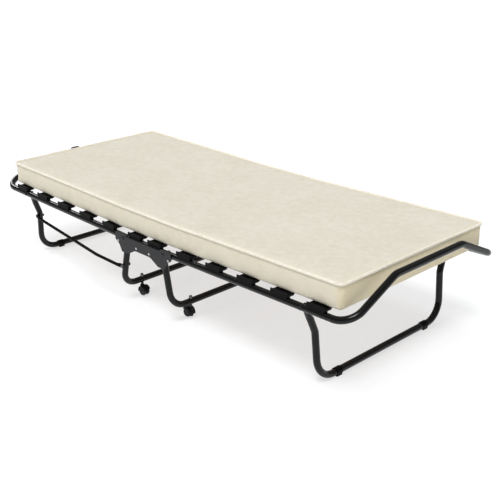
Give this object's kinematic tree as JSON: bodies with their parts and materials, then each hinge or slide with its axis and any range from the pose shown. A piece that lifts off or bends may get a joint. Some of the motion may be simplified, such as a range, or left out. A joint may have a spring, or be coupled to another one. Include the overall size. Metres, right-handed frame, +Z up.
{
  "type": "folding guest bed",
  "caption": "Folding bed: tube frame in two halves on hinge plates, linked foot leg, swinging head leg, casters, slats and a piped mattress.",
  "frame": {"origin": "on the floor under the middle of the opened bed", "axes": "+X from the foot end to the head end, +Y across to the rear side, +Z up"},
  "size_m": [2.0345, 0.8862, 0.419],
  "materials": {
    "tube": "satin black powder coat",
    "rod": "satin black powder coat",
    "plate": "dark grey satin powder coat",
    "zinc": "bright zinc plate",
    "dull_zinc": "dull zinc plate",
    "black_steel": "blackened steel",
    "black_plastic": "moulded, fine grain",
    "wood": "sealed laminated slat",
    "mattress_cover": "cream woven cotton blend",
    "strap": "woven webbing",
    "caster_housing": "black nylon",
    "wheel": "hard nylon tread"
  },
  "bodies": {
    "base": {"hinge_plate_front": "plate", "hinge_plate_rear": "plate", "centre_tube_front": "tube", "centre_tube_rear": "tube", "centre_leg_foot": "tube", "centre_leg_head": "tube", "centre_slats": "wood", "centre_slat_caps": "black_plastic", "plate_rivets": "zinc", "hinge_bolts": "black_steel", "hinge_nuts": "black_steel", "link_bolts": "dull_zinc", "link_nuts": "black_plastic", "caster_stems": "black_steel", "caster_nuts": "dull_zinc", "mattress_fold": "mattress_cover"},
    "foot_frame": {"foot_rail_front": "tube", "foot_rail_rear": "tube", "foot_end_loop": "tube", "foot_spigots": "zinc", "foot_loop_screws": "black_steel", "foot_slats": "wood", "foot_slat_caps": "black_plastic", "foot_leg_bolts": "black_steel", "foot_leg_nuts": "black_steel", "mattress_foot": "mattress_cover", "closing_strap": "strap"},
    "head_frame": {"head_rail_front": "tube", "head_rail_rear": "tube", "head_end_loop": "tube", "head_spigots": "zinc", "head_loop_screws": "black_steel", "head_slats": "wood", "head_slat_caps": "black_plastic", "head_leg_bolts": "black_steel", "head_leg_nuts": "black_steel", "mattress_head": "mattress_cover"},
    "foot_leg_frame": {"foot_leg": "tube", "foot_leg_pads": "black_plastic", "leg_link_bolts": "black_steel", "leg_link_nuts": "black_plastic"},
    "head_leg_frame": {"head_leg": "tube", "head_leg_pads": "black_plastic"},
    "link_front": {"link_rod_front": "rod"},
    "link_rear": {"link_rod_rear": "rod"},
    "caster_foot_front": {"caster_fork_foot_front": "caster_housing"},
    "wheels_foot_front": {"caster_wheels_foot_front": "wheel", "caster_axle_foot_front": "zinc"},
    "caster_foot_rear": {"caster_fork_foot_rear": "caster_housing"},
    "wheels_foot_rear": {"caster_wheels_foot_rear": "wheel", "caster_axle_foot_rear": "zinc"},
    "caster_head_front": {"caster_fork_head_front": "caster_housing"},
    "wheels_head_front": {"caster_wheels_head_front": "wheel", "caster_axle_head_front": "zinc"},
    "caster_head_rear": {"caster_fork_head_rear": "caster_housing"},
    "wheels_head_rear": {"caster_wheels_head_rear": "wheel", "caster_axle_head_rear": "zinc"}
  },
  "joints": [
    {"name": "foot_fold", "type": "hinge", "parent": "base", "child": "foot_frame", "pos_m": [-0.12, 0, 0.288], "axis": [0, 1, 0], "range_deg": [0, 84], "deforming": ["mattress_fold"]},
    {"name": "head_fold", "type": "hinge", "parent": "base", "child": "head_frame", "pos_m": [0.12, 0, 0.288], "axis": [0, -1, 0], "range_deg": [0, 84], "deforming": ["mattress_fold"]},
    {"name": "foot_leg_pivot", "type": "hinge", "parent": "foot_frame", "child": "foot_leg_frame", "pos_m": [-0.82989, 0, 0.30039], "axis": [0, 1, 0], "range_deg": [-84, 0]},
    {"name": "head_leg_pivot", "type": "hinge", "parent": "head_frame", "child": "head_leg_frame", "pos_m": [0.8019, 0, 0.2999], "axis": [0, 1, 0], "range_deg": [0, 85]},
    {"name": "link_front_pivot", "type": "hinge", "parent": "base", "child": "link_front", "pos_m": [-0.13, -0.4315, 0.168], "axis": [0, 1, 0], "range_deg": [0, 84]},
    {"name": "link_rear_pivot", "type": "hinge", "parent": "base", "child": "link_rear", "pos_m": [-0.13, 0.4315, 0.168], "axis": [0, 1, 0], "range_deg": [0, 84]},
    {"name": "caster_foot_front_swivel", "type": "hinge", "parent": "base", "child": "caster_foot_front", "pos_m": [-0.15, -0.32, 0.05], "axis": [0, 0, 1], "continuous": true},
    {"name": "caster_foot_front_roll", "type": "hinge", "parent": "caster_foot_front", "child": "wheels_foot_front", "pos_m": [-0.138, -0.32, 0.025], "axis": [0, 1, 0], "continuous": true},
    {"name": "caster_foot_rear_swivel", "type": "hinge", "parent": "base", "child": "caster_foot_rear", "pos_m": [-0.15, 0.32, 0.05], "axis": [0, 0, 1], "continuous": true},
    {"name": "caster_foot_rear_roll", "type": "hinge", "parent": "caster_foot_rear", "child": "wheels_foot_rear", "pos_m": [-0.138, 0.32, 0.025], "axis": [0, 1, 0], "continuous": true},
    {"name": "caster_head_front_swivel", "type": "hinge", "parent": "base", "child": "caster_head_front", "pos_m": [0.15, -0.32, 0.05], "axis": [0, 0, 1], "continuous": true},
    {"name": "caster_head_front_roll", "type": "hinge", "parent": "caster_head_front", "child": "wheels_head_front", "pos_m": [0.138, -0.32, 0.025], "axis": [0, 1, 0], "continuous": true},
    {"name": "caster_head_rear_swivel", "type": "hinge", "parent": "base", "child": "caster_head_rear", "pos_m": [0.15, 0.32, 0.05], "axis": [0, 0, 1], "continuous": true},
    {"name": "caster_head_rear_roll", "type": "hinge", "parent": "caster_head_rear", "child": "wheels_head_rear", "pos_m": [0.138, 0.32, 0.025], "axis": [0, 1, 0], "continuous": true}
  ],
  "couplings": [
    {"joint": "foot_leg_pivot", "follows": "foot_fold", "ratio": -1},
    {"joint": "link_front_pivot", "follows": "foot_fold", "ratio": 1},
    {"joint": "link_rear_pivot", "follows": "foot_fold", "ratio": 1}
  ]
}
